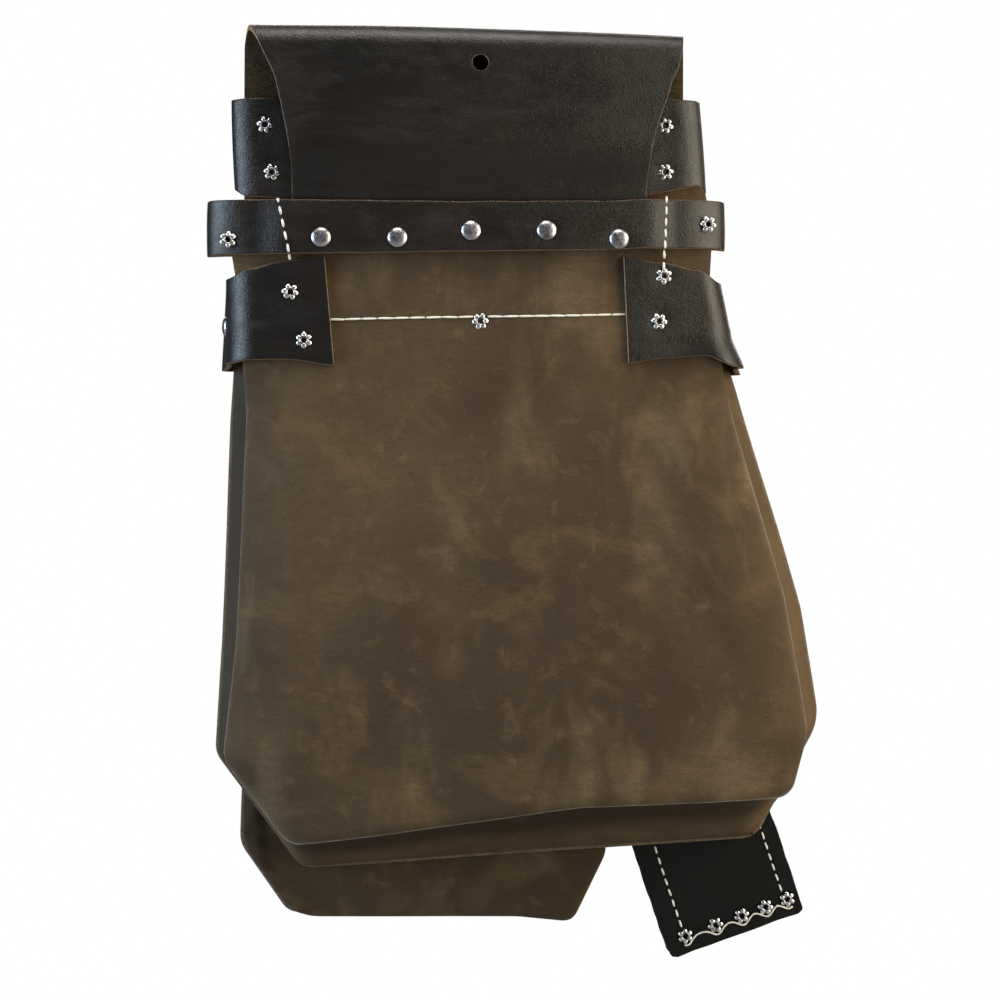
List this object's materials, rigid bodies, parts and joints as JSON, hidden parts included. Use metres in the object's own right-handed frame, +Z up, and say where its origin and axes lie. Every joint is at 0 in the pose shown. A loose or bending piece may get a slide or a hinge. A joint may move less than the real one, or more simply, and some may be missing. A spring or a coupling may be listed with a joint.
{
  "type": "electrician tool pouch",
  "caption": "Leather work-belt tool pouch: riveted belt tunnel and tool loops over a deep suede bag, with a swinging front pocket and a riveted sheath.",
  "frame": {"origin": "middle of the belt tunnel's width, on the wearer's face of the back panel", "axes": "+Z up as worn, +Y away from the wearer, +X to the right seen from the wearer's side, along the belt"},
  "size_m": [0.2882, 0.1149, 0.4306],
  "materials": {
    "brown_suede": "rough-out suede, soft nap, brown",
    "oiled_leather": "smooth oil-tanned leather, very dark brown, satin",
    "black_leather": "smooth black leather, satin",
    "nickel_rivet": "bright nickel plate",
    "waxed_thread": "cream waxed thread"
  },
  "bodies": {
    "pouch": {"back_panel": "brown_suede", "band_rivet_left_lower": "nickel_rivet", "band_rivet_left_upper": "nickel_rivet", "band_rivet_right_lower": "nickel_rivet", "band_rivet_right_upper": "nickel_rivet", "clamp_strap": "oiled_leather", "corner_wrap_left": "oiled_leather", "corner_wrap_right": "oiled_leather", "hanger_rivet_1": "nickel_rivet", "hanger_rivet_2": "nickel_rivet", "hanger_rivet_3": "nickel_rivet", "hem_rivet": "nickel_rivet", "hem_thread": "waxed_thread", "hem_thread_right": "waxed_thread", "loop_rivet_1": "nickel_rivet", "loop_rivet_2": "nickel_rivet", "loop_rivet_3": "nickel_rivet", "main_front_panel": "brown_suede", "main_gusset": "brown_suede", "pocket_hanger": "oiled_leather", "sheath_pivot_rivet": "nickel_rivet", "strap_end_rivet_left": "nickel_rivet", "strap_end_rivet_right": "nickel_rivet", "strap_rivet_1": "nickel_rivet", "strap_rivet_2": "nickel_rivet", "strap_rivet_3": "nickel_rivet", "strap_rivet_4": "nickel_rivet", "strap_rivet_5": "nickel_rivet", "strap_thread_left": "waxed_thread", "strap_thread_right": "waxed_thread", "tool_band": "oiled_leather", "tunnel_sheet": "oiled_leather", "wrap_back_rivet_left_lower": "nickel_rivet", "wrap_back_rivet_left_upper": "nickel_rivet", "wrap_back_rivet_right_lower": "nickel_rivet", "wrap_back_rivet_right_upper": "nickel_rivet", "wrap_front_rivet_left_lower": "nickel_rivet", "wrap_front_rivet_left_upper": "nickel_rivet", "wrap_front_rivet_right_lower": "nickel_rivet", "wrap_front_rivet_right_upper": "nickel_rivet", "wrap_side_rivet_left": "nickel_rivet", "wrap_side_rivet_right": "nickel_rivet"},
    "pocket": {"pocket_back_panel": "brown_suede", "pocket_front_panel": "brown_suede", "pocket_gusset": "brown_suede"},
    "sheath": {"sheath_back": "black_leather", "sheath_front": "black_leather", "sheath_rivet_1": "nickel_rivet", "sheath_rivet_2": "nickel_rivet", "sheath_rivet_3": "nickel_rivet", "sheath_rivet_4": "nickel_rivet", "sheath_rivet_5": "nickel_rivet", "sheath_thread_left": "waxed_thread", "sheath_thread_right": "waxed_thread", "sheath_welt": "black_leather"}
  },
  "joints": [
    {"name": "sheath_swing", "type": "hinge", "parent": "pouch", "child": "sheath", "pos_m": [0.0719, 0.05112, -0.19638], "axis": [0, -0.9976, -0.0698], "range_deg": [0, 38]},
    {"name": "pocket_lift", "type": "hinge", "parent": "pouch", "child": "pocket", "pos_m": [0, 0.05384, -0.21383], "axis": [1, 0, 0], "range_deg": [0, 35]}
  ]
}
